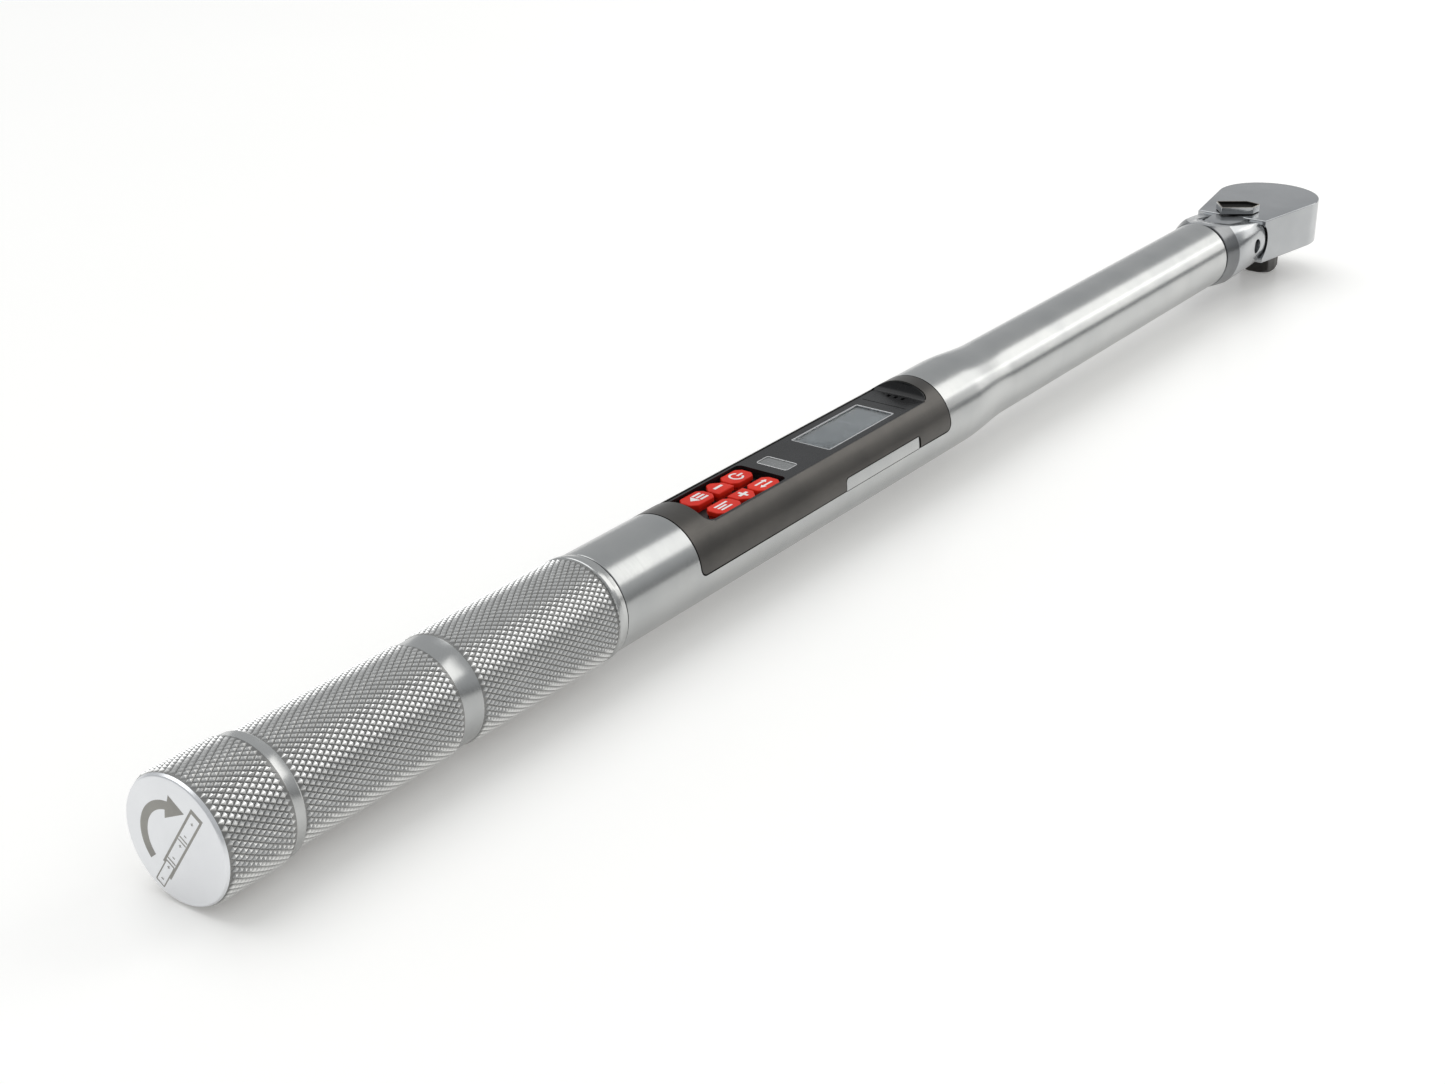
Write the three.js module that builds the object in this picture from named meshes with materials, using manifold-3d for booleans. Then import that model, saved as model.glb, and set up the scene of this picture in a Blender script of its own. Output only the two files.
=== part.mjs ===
// Electronic torque wrench with a tilting ratchet head and a half-inch square drive.
// Millimetres, +Z up. The handle's axis runs along X, with the battery cap at the low end.
// Inside this file X is counted from the cap's end face and the handle's axis is at Z = 0;
// the last lines move the whole object so that its origin is the centre of the square drive's end.
import * as THREE from 'three';
import { mergeVertices } from 'three/addons/utils/BufferGeometryUtils.js';
import Module from 'manifold-3d';

const wasm = await Module();
wasm.setup();

// ---------- driving dimensions ----------
const GAP = 0.3; // between pieces that touch

const TUBE_R = 15.875; // one and a quarter inch tube
const TUBE_BORE_R = 12.6;
const FRONT_R = 14.05; // swaged front part of the tube
const FRONT_BORE_R = 11.3;
const SWAGE_START = 356;
const SWAGE_END = 386;
const TUBE_START = 6.4;
const TUBE_END = 573;
const SEAT_R = 14.6; // reduced tube under the cap and the grip

const CAP_R = 17.9;
const CAP_FACE_R = 17.0;
const CAP_RIM_R = 17.2;
const CAP_LENGTH = 26;
const CAP_KNURL_END = 22.5;
const CAP_FLOOR = 5;
const CAP_BORE_R = 15.2;
const SEAL_X = 23.9;
const SEAL_R = 14.3;

const GRIP_R = 16.46;
const GRIP_START = CAP_LENGTH + 0.4;
const GRIP_END = 154;
const GRIP_GROOVE = [84.5, 91.5];
const GRIP_GROOVE_R = 15.8;

const CELL_R = 7.1;
const CELL_LENGTH = 50.5;
const CELL_START = 12.7;

const HOUSING = [189.5, 335.5];
const HOUSING_R = 15.9;
const HOUSING_INNER_R = 13.6;
const FACE_Z = 11.7; // height of the flat cut across the housing
const FACE_HALF = 10.4; // half width of the opening in the flat
const POCKET = [200, 329.4];
const NOTCH = [268.7, 315.5];
const NOTCH_Z = 4.1;

const PANEL_Z = [9.9, 11.5];
const TRAY = [203.5, 244]; // sunken keypad tray
const TRAY_Z = [7.5, 8.2];
const LCD = [271, 311.5];
const LCD_HALF = 7.6;
const LIGHT = [248.5, 255.5];
const LIGHT_HALF = 6.0;
const BOARD_Z = [3.0, 4.6];

const KEY_TOP = 10.9;
const KEY_BASE = 9.2;
const KEY_STEM = 6.9;

const PIVOT_X = 601.5; // tilt axis of the head
const YOKE_START = 574;
const YOKE_CONE_END = 582.3;
const YOKE_NECK_R = 14.3;
const YOKE_R = 15.9;
const YOKE_END = 609.7;
const EAR_R = 10; // the ears' ends are rounded about the tilt axis
const EAR_TOP = [12.5, 8.8]; // height of the ears' sloping faces at their two ends
const SLOT_HALF = 7.6;
const TONGUE_HALF = 7.2;
const TONGUE_R = 13;
const SLOT_R = 15;
const PIN_R = 2.8;

const HEAD_HALF = 9.5; // half thickness
const SHOULDER_R = 10.4; // hollow shoulder about the tilt axis
const SHOULDER_BACK = 7.3; // from the tilt axis to the shoulder's flat edges
const SHOULDER_HALF = 16;
const NOSE_X = 649.5;
const NOSE_R = 22.2;
const DRIVE_X = 647;
const SQUARE = 12.7;
const SQUARE_END = -24;
const LEVER_X = 616;
const LEVER_REST = -54; // degrees, direction of the lever's point
const LEVER_BACK = 8.9;
const LEVER_SHOULDER = 4.8;
const LEVER_POINT = 9.4;
const LEVER_HALF = 5.4;
const LEVER_HIGH = 3.1;
const SHAFT_R = 3.8; // lever's shaft

const GEAR_TEETH = 60;
const GEAR_TIP_R = 14.8;
const GEAR_ROOT_R = 14.15;
const GEAR_BORE_R = 15.2;
const PAWL_SWING = 5; // degrees, the pawl's swing at rest

const ROUND = 44; // facets round the large turned pieces

// ---------- geometry helpers ----------
const RAD = Math.PI / 180;

// a point in plan at a radius and an angle in degrees about the drive's axis
function polar(radius, angle) {
  return [DRIVE_X + radius * Math.cos(angle * RAD), radius * Math.sin(angle * RAD)];
}

function closed(geometry) {
  const plain = geometry.clone();
  plain.deleteAttribute('normal');
  plain.deleteAttribute('uv');
  const merged = mergeVertices(plain, 1e-4);
  const p = merged.attributes.position.array;
  const all = merged.index.array;
  const kept = [];
  let volume = 0;
  for (let i = 0; i < all.length; i += 3) {
    const [a, b, c] = [all[i], all[i + 1], all[i + 2]];
    if (a === b || b === c || c === a) continue;
    kept.push(a, b, c);
    const [u, v, w] = [a, b, c].map((k) => new THREE.Vector3(p[3 * k], p[3 * k + 1], p[3 * k + 2]));
    volume += u.dot(v.cross(w));
  }
  if (volume < 0) kept.reverse();
  return { positions: new Float32Array(p), triangles: new Uint32Array(kept) };
}

function solid(geometry) {
  const { positions, triangles } = closed(geometry);
  return new wasm.Manifold(
    new wasm.Mesh({ numProp: 3, vertProperties: positions, triVerts: triangles }));
}

function geometryOf(body) {
  const mesh = body.getMesh();
  const geometry = new THREE.BufferGeometry();
  geometry.setAttribute('position', new THREE.BufferAttribute(mesh.vertProperties.slice(), 3));
  geometry.setIndex(new THREE.BufferAttribute(mesh.triVerts.slice(), 1));
  geometry.computeVertexNormals();
  return geometry;
}

// a turned piece about X; profile points are [x, radius]
function turned(profile, segments = ROUND) {
  const points = profile.map(([x, r]) => new THREE.Vector2(r, x));
  return solid(new THREE.LatheGeometry(points, segments).rotateZ(-Math.PI / 2));
}

// a ring about X, from a closed section
function ring(section, segments = ROUND) {
  return turned([...section, section[0]], segments);
}

function rodX(radius, x0, x1, segments = 24) {
  return turned([[x0, 0], [x0, radius], [x1, radius], [x1, 0]], segments);
}

function rodZ(radius, x, y, z0, z1, segments = 24) {
  return rodX(radius, z0, z1, segments).rotate([0, -90, 0]).translate([x, y, 0]);
}

function rodY(radius, x, y0, y1, z, segments = 24) {
  return rodX(radius, y0, y1, segments).rotate([0, 0, 90]).translate([x, 0, z]);
}

function box(x0, x1, y0, y1, z0, z1) {
  const geometry = new THREE.BoxGeometry(x1 - x0, y1 - y0, z1 - z0);
  return solid(geometry.translate((x0 + x1) / 2, (y0 + y1) / 2, (z0 + z1) / 2));
}

// a flat outline in X and Y, raised from z0 to z1
function slab(shape, z0, z1, arcs = 5) {
  const options = { depth: z1 - z0, bevelEnabled: false, curveSegments: arcs };
  return solid(new THREE.ExtrudeGeometry(shape, options).translate(0, 0, z0));
}

// a side outline in X and Z, spread across Y from -half to half
function across(shape, half, arcs = 5) {
  const options = { depth: 2 * half, bevelEnabled: false, curveSegments: arcs };
  const geometry = new THREE.ExtrudeGeometry(shape, options);
  return solid(geometry.rotateX(Math.PI / 2).translate(0, half, 0));
}

function outline(points) {
  return new THREE.Shape(points.map(([x, y]) => new THREE.Vector2(x, y)));
}

function rounded(x0, x1, y0, y1, r) {
  const shape = new THREE.Shape();
  shape.moveTo(x0 + r, y0);
  shape.lineTo(x1 - r, y0);
  shape.absarc(x1 - r, y0 + r, r, -Math.PI / 2, 0);
  shape.lineTo(x1, y1 - r);
  shape.absarc(x1 - r, y1 - r, r, 0, Math.PI / 2);
  shape.lineTo(x0 + r, y1);
  shape.absarc(x0 + r, y1 - r, r, Math.PI / 2, Math.PI);
  shape.lineTo(x0, y0 + r);
  shape.absarc(x0 + r, y0 + r, r, Math.PI, 1.5 * Math.PI);
  return shape;
}

// a straight-sided outline that opens from a shoulder and wraps a round nose
function teardrop(backX, backHalf, centreX, radius) {
  const reach = Math.hypot(centreX - backX, backHalf);
  const lean = Math.asin(radius / reach) - Math.atan2(backHalf, centreX - backX);
  const turn = Math.PI / 2 + lean;
  const shape = new THREE.Shape();
  shape.moveTo(backX, -backHalf);
  shape.lineTo(centreX + radius * Math.cos(turn), -radius * Math.sin(turn));
  shape.absarc(centreX, 0, radius, -turn, turn);
  shape.lineTo(backX, backHalf);
  return shape;
}

// a coil spring along X; its radius goes from r0 to r1
class Helix extends THREE.Curve {
  constructor(x0, x1, r0, r1, turns) {
    super();
    Object.assign(this, { x0, x1, r0, r1, turns });
  }

  getPoint(t) {
    const r = this.r0 + (this.r1 - this.r0) * t;
    const a = 2 * Math.PI * this.turns * t;
    return new THREE.Vector3(this.x0 + (this.x1 - this.x0) * t, r * Math.cos(a), r * Math.sin(a));
  }
}

function coil(x0, x1, r0, r1, turns, wire) {
  return wireAlong(new Helix(x0, x1, r0, r1, turns), wire, Math.round(9 * turns), 4);
}

function wireAlong(path, radius, steps, sides) {
  const section = new THREE.Shape();
  for (let i = 0; i < sides; i += 1) {
    const a = (2 * Math.PI * i) / sides;
    if (i === 0) section.moveTo(radius, 0);
    else section.lineTo(radius * Math.cos(a), radius * Math.sin(a));
  }
  return solid(new THREE.ExtrudeGeometry(section, { steps, bevelEnabled: false, extrudePath: path }));
}

// ---------- materials ----------
function finish(color, roughness, metalness) {
  return new THREE.MeshStandardMaterial({ color, roughness, metalness });
}

const SATIN = finish(0xb9bcbd, 0.32, 1);
const POLISHED = finish(0xd2d4d5, 0.16, 1);
const STEEL = finish(0x9a9c9e, 0.4, 1);
const BRASS = finish(0xc9a55c, 0.35, 1);
const GRAPHITE = finish(0x3c3a38, 0.5, 0.2);
const BLACK_GLOSS = finish(0x121214, 0.18, 0);
const BLACK_STEEL = finish(0x1c1b1a, 0.35, 0.8);
const LCD_GREY = finish(0x84898c, 0.3, 0);
const GLASS = finish(0xb7bcc0, 0.08, 0);
const RED_RUBBER = finish(0xc32a1e, 0.5, 0);
const SEAL_RUBBER = finish(0x1a1a1a, 0.8, 0);
const CELL_SLEEVE = finish(0x2f4a63, 0.35, 0.3);
const BOARD_GREEN = finish(0x1f5a3c, 0.6, 0);
const NYLON = finish(0xd8d4c8, 0.6, 0);

const wrench = new THREE.Group();

function add(name, body, material) {
  const mesh = new THREE.Mesh(geometryOf(body), material);
  mesh.name = name;
  wrench.add(mesh);
}

// ---------- battery end ----------
function endCap() {
  const shell = turned([
    [0, 0], [0, CAP_FACE_R], [1, CAP_R], [CAP_KNURL_END, CAP_R], [CAP_KNURL_END + 0.7, CAP_RIM_R],
    [CAP_LENGTH - 0.5, CAP_RIM_R], [CAP_LENGTH, CAP_RIM_R - 0.5], [CAP_LENGTH, CAP_BORE_R],
    [CAP_FLOOR, CAP_BORE_R], [CAP_FLOOR, 0],
  ]);
  add('end_cap', shell, SATIN);
  const section = [];
  for (let a = 0; a < 360; a += 60) {
    section.push([SEAL_X + 0.55 * Math.cos(a * RAD), SEAL_R + 0.55 * Math.sin(a * RAD)]);
  }
  add('cap_seal_ring', ring(section, 28), SEAL_RUBBER);
  add('cap_contact', rodX(9, CAP_FLOOR + GAP, CAP_FLOOR + 1.1), BRASS);
  add('battery_spring', coil(7, 11.8, 5.2, 3.4, 4, 0.45), STEEL);
}

function batteries() {
  for (let i = 0; i < 3; i += 1) {
    const x = CELL_START + i * (CELL_LENGTH + GAP);
    const cell = turned([
      [x, 0], [x, CELL_R - 0.6], [x + 0.6, CELL_R], [x + 48.8, CELL_R], [x + 49.3, CELL_R - 0.5],
      [x + 49.3, 2.7], [x + CELL_LENGTH, 2.7], [x + CELL_LENGTH, 0],
    ], 24);
    add(`battery_${i + 1}`, cell, CELL_SLEEVE);
  }
  const end = CELL_START + 3 * (CELL_LENGTH + GAP);
  const liner = ring([
    [CELL_START - 0.5, 7.6], [CELL_START - 0.5, 12.2], [CELL_START + 5, 12.2], [CELL_START + 5, 8.9],
    [end - 8, 8.9], [end - 8, 12.2], [end, 12.2], [end, 7.6],
  ], 24);
  add('battery_liner', liner, NYLON);
  const hole = rodX(1.6, end - 1, end + 8, 16);
  add('contact_carrier', rodX(12.2, end + 1.4, end + 5).subtract(hole), NYLON);
  const button = turned([
    [end, 0], [end, 3.4], [end + 0.9, 3.4], [end + 0.9, 1.2], [end + 6.5, 1.2], [end + 6.5, 0],
  ], 20);
  add('positive_contact', button, BRASS);
}

function gripSleeve() {
  const [g0, g1] = GRIP_GROOVE;
  const bore = SEAT_R + GAP;
  const sleeve = ring([
    [GRIP_START, bore], [GRIP_START, GRIP_R - 0.5], [GRIP_START + 0.5, GRIP_R], [g0, GRIP_R],
    [g0 + 0.8, GRIP_GROOVE_R], [g1 - 0.8, GRIP_GROOVE_R], [g1, GRIP_R], [GRIP_END - 4, GRIP_R],
    [GRIP_END - 0.4, TUBE_R + 0.15], [GRIP_END - 0.4, bore],
  ]);
  add('grip_sleeve', sleeve, SATIN);
}

// ---------- tube ----------
// outer radius through the swage, eased at both ends
function swage(r0, r1, steps) {
  const points = [];
  for (let i = 0; i <= steps; i += 1) {
    const t = i / steps;
    const ease = t * t * (3 - 2 * t);
    points.push([SWAGE_START + t * (SWAGE_END - SWAGE_START), r0 + (r1 - r0) * ease]);
  }
  return points;
}

// side outline of the housing's seat, and of the housing itself when grow is 0
function housingSide(grow) {
  const [x0, x1] = HOUSING;
  return rounded(x0 - grow, x1 + grow, -grow, 40, 2.5 + grow);
}

function mainTube() {
  const outer = [
    [TUBE_START, SEAT_R], [22.9, SEAT_R], [22.9, 13.45], [24.9, 13.45], [24.9, SEAT_R],
    [GRIP_END, SEAT_R], [GRIP_END, TUBE_R], ...swage(TUBE_R, FRONT_R, 6), [TUBE_END, FRONT_R],
  ];
  const inner = [...swage(TUBE_BORE_R, FRONT_BORE_R, 2), [TUBE_END, FRONT_BORE_R]].reverse();
  let tube = ring([...outer, ...inner, [TUBE_START, TUBE_BORE_R]]);
  tube = tube.subtract(across(housingSide(GAP), 30));
  const [n0, n1] = NOTCH;
  const tab = ring([[n0, 13.2], [n0, TUBE_R], [n1, TUBE_R], [n1, 13.2]]);
  const window = across(rounded(n0 + GAP, n1 - 1.2, -2, NOTCH_Z - GAP, 1.6), 30);
  tube = tube.add(tab.intersect(window));
  tube = tube.subtract(rodZ(1.9, 556, 0, -30, -5, 20));
  add('main_tube', tube, SATIN);
  const screw = rodZ(1.6, 556, 0, -13.7, -6.5, 20);
  add('shank_screw', screw, STEEL);
}

// ---------- display housing ----------
function housingShell() {
  const [x0, x1] = HOUSING;
  let shell = ring([[x0, HOUSING_INNER_R], [x0, HOUSING_R], [x1, HOUSING_R], [x1, HOUSING_INNER_R]]);
  shell = shell.intersect(across(housingSide(0), 30));
  const [p0, p1] = POCKET;
  shell = shell.subtract(slab(rounded(p0, p1, -FACE_HALF, FACE_HALF, 3), 5, 30));
  shell = shell.subtract(box(p0 + 3, p1 - 3.4, -30, 30, FACE_Z, 30));
  const [n0, n1] = NOTCH;
  shell = shell.subtract(across(rounded(n0, n1, -6, NOTCH_Z, 1.6), 30));
  add('housing_shell', shell, GRAPHITE);
}

// [x0, x1, y0, y1, point]: point is the side on which a key comes to an arrow
const KEYS = {
  menu_key: [209.8, 221.6, 1.5, 8.7, 0],
  minus_key: [222.3, 230.6, 1.5, 8.7, 1],
  power_key: [231.3, 242.6, 1.5, 8.7, 0],
  preset_key: [209.8, 221.6, -8.7, -1.5, 0],
  plus_key: [222.3, 230.6, -8.7, -1.5, -1],
  unit_key: [231.3, 242.6, -8.7, -1.5, 0],
};

function keyOutline([x0, x1, y0, y1, point], inset) {
  const [a, b, c, d] = [x0 + inset, x1 - inset, y0 + inset, y1 - inset];
  const cut = 1.8;
  const tip = 3;
  const mid = (a + b) / 2;
  if (point > 0) return outline([[a, c], [b, c], [b, d - tip], [mid + 1, d], [mid - 1, d], [a, d - tip]]);
  if (point < 0) return outline([[a, c + tip], [mid - 1, c], [mid + 1, c], [b, c + tip], [b, d], [a, d]]);
  return outline([[a + cut, c], [b - cut, c], [b, c + cut], [b, d - cut], [b - cut, d], [a + cut, d],
    [a, d - cut], [a, c + cut]]);
}

function keys() {
  for (const [name, key] of Object.entries(KEYS)) {
    const top = slab(keyOutline(key, 0), KEY_BASE, KEY_TOP);
    const stem = slab(keyOutline(key, 0.5), KEY_STEM, KEY_BASE + 0.2);
    add(name, top.add(stem), RED_RUBBER);
  }
}

function facePanel() {
  const [x0, x1] = [POCKET[0] + GAP, POCKET[1] - GAP];
  const half = FACE_HALF - GAP;
  const [low, high] = PANEL_Z;
  const side = outline([
    [x0, low], [x1, low], [x1, 15.6], [x1 - 1.1, 15.6], [x1 - 2.2, 12.4], [x1 - 3.4, high], [x0, high],
  ]);
  let panel = across(side, half).intersect(slab(rounded(x0, x1, -half, half, 2.7), 0, 20));
  panel = panel.intersect(rodX(HOUSING_R - GAP, x0, x1, ROUND));
  const [t0, t1] = TRAY;
  panel = panel.subtract(slab(rounded(t0, t1, -9.3, 9.3, 2), low - 1, 20));
  const tray = slab(rounded(t0 - 1, t1 + 1, -9.9, 9.9, 2.4), TRAY_Z[0], low + 0.6);
  panel = panel.add(tray.subtract(slab(rounded(t0, t1, -9.3, 9.3, 2), TRAY_Z[1], 20)));
  for (const key of Object.values(KEYS)) {
    panel = panel.subtract(slab(keyOutline(key, 0.15), TRAY_Z[0] - 1, TRAY_Z[1] + 0.5));
  }
  panel = panel.subtract(slab(rounded(LCD[0], LCD[1], -LCD_HALF, LCD_HALF, 0.8), 0, 20));
  panel = panel.subtract(slab(rounded(LIGHT[0], LIGHT[1], -LIGHT_HALF, LIGHT_HALF, 1.2), 0, 20));
  for (const y of [-2.8, 0, 2.8]) panel = panel.subtract(box(324, 326, y - 0.6, y + 0.6, 0, 20));
  panel = panel.subtract(box(316.6, 317.1, -8.5, 8.5, high - 0.4, 20));
  add('face_panel', panel, BLACK_GLOSS);
}

function display() {
  const [l0, l1] = [LCD[0] + GAP, LCD[1] - GAP];
  add('display_window', slab(rounded(l0, l1, -LCD_HALF + GAP, LCD_HALF - GAP, 0.6), 10, 10.9), GLASS);
  add('lcd_module', box(l0 - 2, l1 + 2, -8.9, 8.9, 6.3, 9.6), LCD_GREY);
  const [a, b] = [LIGHT[0] + GAP, LIGHT[1] - GAP];
  const bar = slab(rounded(a, b, -LIGHT_HALF + GAP, LIGHT_HALF - GAP, 1), 9, 11.2)
    .add(box(a - 1.2, b + 1.2, -8, 8, 7.4, 9.4));
  add('light_bar', bar, GLASS);
}

function electronics() {
  const [low, high] = BOARD_Z;
  add('main_board', box(201.5, 328, -9.5, 9.5, low, high), BOARD_GREEN);
  add('keypad_mat', box(205, 243.5, -9, 9, high + GAP, high + 1.3), SEAL_RUBBER);
  add('light_module', box(248, 256.5, -6.5, 6.5, high + GAP, 6.9), NYLON);
  add('buzzer', rodZ(4.4, 324, 0, high + GAP, 9.3, 24), BLACK_GLOSS);
  add('vibration_motor', rodX(3.1, 215, 233, 20).translate([0, 0, -5]), STEEL);
  const feed = new THREE.CatmullRomCurve3([
    [171.6, 4, 0], [180, 6, -3], [190, 6, -4], [199, 6, 0.5], [203, 6, 2.1],
  ].map(([x, y, z]) => new THREE.Vector3(x, y, z)));
  add('battery_lead', wireAlong(feed, 0.6, 16, 6), SEAL_RUBBER);
  const gauges = new THREE.CatmullRomCurve3([
    [322, 6, 2.1], [332, 6, 0], [350, 5, -4], [380, 4, -5], [408, 3, -5],
  ].map(([x, y, z]) => new THREE.Vector3(x, y, z)));
  add('gauge_lead', wireAlong(gauges, 0.7, 20, 6), SEAL_RUBBER);
}

// ---------- force sensing ----------
function measuringBeam() {
  const r = FRONT_BORE_R - GAP;
  const beam = rodX(r, 412, 428).add(rodX(r, 524, 542)).add(box(426, 526, -4.5, 4.5, -7.5, 7.5));
  add('measuring_beam', beam, STEEL);
  const places = [[458, -1], [492, -1], [458, 1], [492, 1]];
  places.forEach(([x, side], i) => {
    const y = side * (4.5 + GAP + 0.2);
    add(`strain_gauge_${i + 1}`, box(x - 4, x + 4, y - 0.2, y + 0.2, -2.5, 2.5), BRASS);
  });
}

// ---------- yoke ----------
function yokeSide() {
  const [high, low] = EAR_TOP;
  const slope = (high - low) / (YOKE_END - 1.8 - YOKE_CONE_END);
  const back = 530;
  const top = high + slope * (YOKE_CONE_END - back);
  const r = 3;
  const shape = new THREE.Shape();
  shape.moveTo(back, -top);
  shape.lineTo(YOKE_END - r, -low);
  shape.absarc(YOKE_END - r, -low + r, r, -Math.PI / 2, 0);
  shape.lineTo(YOKE_END, low - r);
  shape.absarc(YOKE_END - r, low - r, r, 0, Math.PI / 2);
  shape.lineTo(back, top);
  return shape;
}

function yoke() {
  const shank = FRONT_BORE_R - GAP;
  let body = turned([
    [542.5, 0], [542.5, shank], [YOKE_START - 0.7, shank], [YOKE_START - 0.7, YOKE_NECK_R - 1.6],
    [YOKE_START, YOKE_NECK_R - 1.6], [YOKE_START, YOKE_NECK_R], [YOKE_CONE_END, YOKE_R], [YOKE_END, YOKE_R],
    [YOKE_END, 0],
  ]);
  body = body.intersect(across(yokeSide(), 30));
  const behind = box(530, PIVOT_X + 3.5, -30, 30, -30, 30);
  body = body.intersect(rodY(EAR_R, PIVOT_X, -30, 30, 0, 96).add(behind));
  const slot = box(PIVOT_X - SLOT_R - 1, YOKE_END + 5, -SLOT_HALF, SLOT_HALF, -30, 30)
    .intersect(rodZ(SLOT_R, PIVOT_X, 0, -30, 30, 60).add(box(PIVOT_X, YOKE_END + 5, -30, 30, -30, 30)));
  body = body.subtract(slot);
  body = body.subtract(rodY(PIN_R + GAP, PIVOT_X, -30, 30, 0));
  body = body.subtract(rodX(3.2, 566, PIVOT_X));
  body = body.subtract(rodZ(1.9, 556, 0, -30, -5, 20));
  add('yoke', body, POLISHED);
  add('pivot_pin', rodY(PIN_R, PIVOT_X, -12.5, 12.5, 0), STEEL);
  const nose = PIVOT_X - TONGUE_R - GAP;
  const plunger = turned([
    [577, 0], [577, 2.9], [nose - 1.2, 2.9], [nose - 0.3, 1.9], [nose, 0],
  ], 20);
  add('friction_plunger', plunger, STEEL);
  add('friction_spring', coil(567.2, 576, 2.2, 2.2, 5, 0.4), STEEL);
}

// ---------- ratchet head ----------
// the space swept by the lever's spring plunger
function leverPocket() {
  const sweep = rodZ(7.7, LEVER_X, 0, -7.2, 5.2, 32);
  const front = sweep.intersect(box(LEVER_X - 1.4, LEVER_X + 12, -12, 12, -8, 8));
  return front.add(rodZ(SHAFT_R + GAP, LEVER_X, 0, -7.2, 5.2));
}

function headCavity() {
  const gear = rodZ(GEAR_BORE_R, DRIVE_X, 0, -7.2, 5.2, 40);
  const pawl = slab(rounded(LEVER_X + 5, DRIVE_X - 8, -10.6, 10.6, 2), -7.2, 5.2);
  return gear.add(pawl).add(leverPocket());
}

function coverOutline(grow) {
  return teardrop(LEVER_X + 0.5 - grow, 6 + grow * 0.7, DRIVE_X, 19 + grow);
}

const COVER_SCREWS = [50, 130, -130, -50].map((a) => polar(17, a));

function head() {
  const plan = teardrop(PIVOT_X + SHOULDER_BACK, SHOULDER_HALF - 0.3, NOSE_X, NOSE_R);
  let body = slab(plan, -HEAD_HALF, HEAD_HALF, 28);
  body = body.subtract(rodY(SHOULDER_R, PIVOT_X, -30, 30, 0, 96));
  const ball = solid(new THREE.SphereGeometry(TONGUE_R, 28, 16).translate(PIVOT_X, 0, 0));
  const neck = box(PIVOT_X, PIVOT_X + 14, -TONGUE_HALF, TONGUE_HALF, -HEAD_HALF, HEAD_HALF);
  const back = box(PIVOT_X - 20, PIVOT_X + 1, -TONGUE_HALF, TONGUE_HALF, -HEAD_HALF, HEAD_HALF);
  body = body.add(ball.intersect(back)).add(neck);
  body = body.subtract(rodY(PIN_R + GAP, PIVOT_X, -30, 30, 0));
  body = body.subtract(headCavity());
  body = body.subtract(rodZ(SHAFT_R + GAP, LEVER_X, 0, -7, 20));
  body = body.subtract(slab(coverOutline(GAP), -20, -7.1, 24));
  for (const [x, y] of COVER_SCREWS) body = body.subtract(rodZ(1.4, x, y, -8, -3, 10));
  add('ratchet_head', body, POLISHED);
}

function cover() {
  let plate = slab(coverOutline(0), -HEAD_HALF, -7.4, 24);
  plate = plate.subtract(rodZ(10.1, DRIVE_X, 0, -20, 0, 32));
  for (const [x, y] of COVER_SCREWS) {
    plate = plate.subtract(rodZ(1.4, x, y, -20, 0, 10)).subtract(rodZ(1.9, x, y, -20, -8.4, 12));
  }
  add('head_cover', plate, POLISHED);
  COVER_SCREWS.forEach(([x, y], i) => {
    const screw = rodZ(1.6, x, y, -HEAD_HALF, -8.7, 12).add(rodZ(1.1, x, y, -9, -3.4, 12));
    add(`cover_screw_${i + 1}`, screw, STEEL);
  });
}

function gearOutline() {
  const points = [];
  for (let i = 0; i < 2 * GEAR_TEETH; i += 1) {
    points.push(polar(i % 2 ? GEAR_ROOT_R : GEAR_TIP_R, (180 * i) / GEAR_TEETH));
  }
  return outline(points);
}

function drive() {
  const h = SQUARE / 2;
  const square = slab(rounded(DRIVE_X - h, DRIVE_X + h, -h, h, 0.9), SQUARE_END, -9, 3);
  const chamfer = turned([
    [SQUARE_END, 0], [SQUARE_END, h + 0.35], [SQUARE_END + 1.8, 8.8], [-8, 8.8], [-8, 0],
  ], 48).rotate([0, -90, 0]).translate([DRIVE_X, 0, 0]);
  let gear = slab(gearOutline(), -5, 4.8);
  gear = gear.add(rodZ(9.7, DRIVE_X, 0, -10.2, -4, 32)).add(square.intersect(chamfer));
  const ballZ = SQUARE_END + 5.5;
  gear = gear.subtract(rodX(2.7, 0, 20, 24).translate([DRIVE_X, 0, ballZ]));
  add('drive_gear', gear, BLACK_STEEL);
  const ball = solid(new THREE.SphereGeometry(2.4, 14, 8).translate(DRIVE_X + h - 1.5, 0, ballZ));
  add('socket_ball', ball, STEEL);
  add('socket_ball_spring', coil(0.7, 1.5, 1.7, 1.7, 1.5, 0.25).translate([DRIVE_X, 0, ballZ]), STEEL);
}

// a rocker with fine teeth facing the gear, held just clear of them
function pawl() {
  const points = [];
  for (let i = 0; i <= 18; i += 1) points.push(polar(i % 2 ? 15.25 : 15.85, 153 + 3 * i));
  points.push([DRIVE_X - 17.4, -8], [DRIVE_X - 21, -7], [DRIVE_X - 22.2, -4], [DRIVE_X - 21.6, 0]);
  points.push([DRIVE_X - 22.2, 4], [DRIVE_X - 21, 7], [DRIVE_X - 17.4, 8]);
  const body = slab(outline(points), -4.8, 4.6).translate([-DRIVE_X, 0, 0]);
  add('pawl', body.rotate([0, 0, PAWL_SWING]).translate([DRIVE_X, 0, 0]), STEEL);
}

// the lever's plan, its point along +X
function leverOutline(inset) {
  const [back, half] = [LEVER_BACK - inset, LEVER_HALF - inset];
  const [shoulder, point] = [LEVER_SHOULDER - inset * 0.6, LEVER_POINT - inset * 1.4];
  return outline([[-back, -half], [shoulder, -half], [point, 0], [shoulder, half], [-back, half]]);
}

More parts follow.
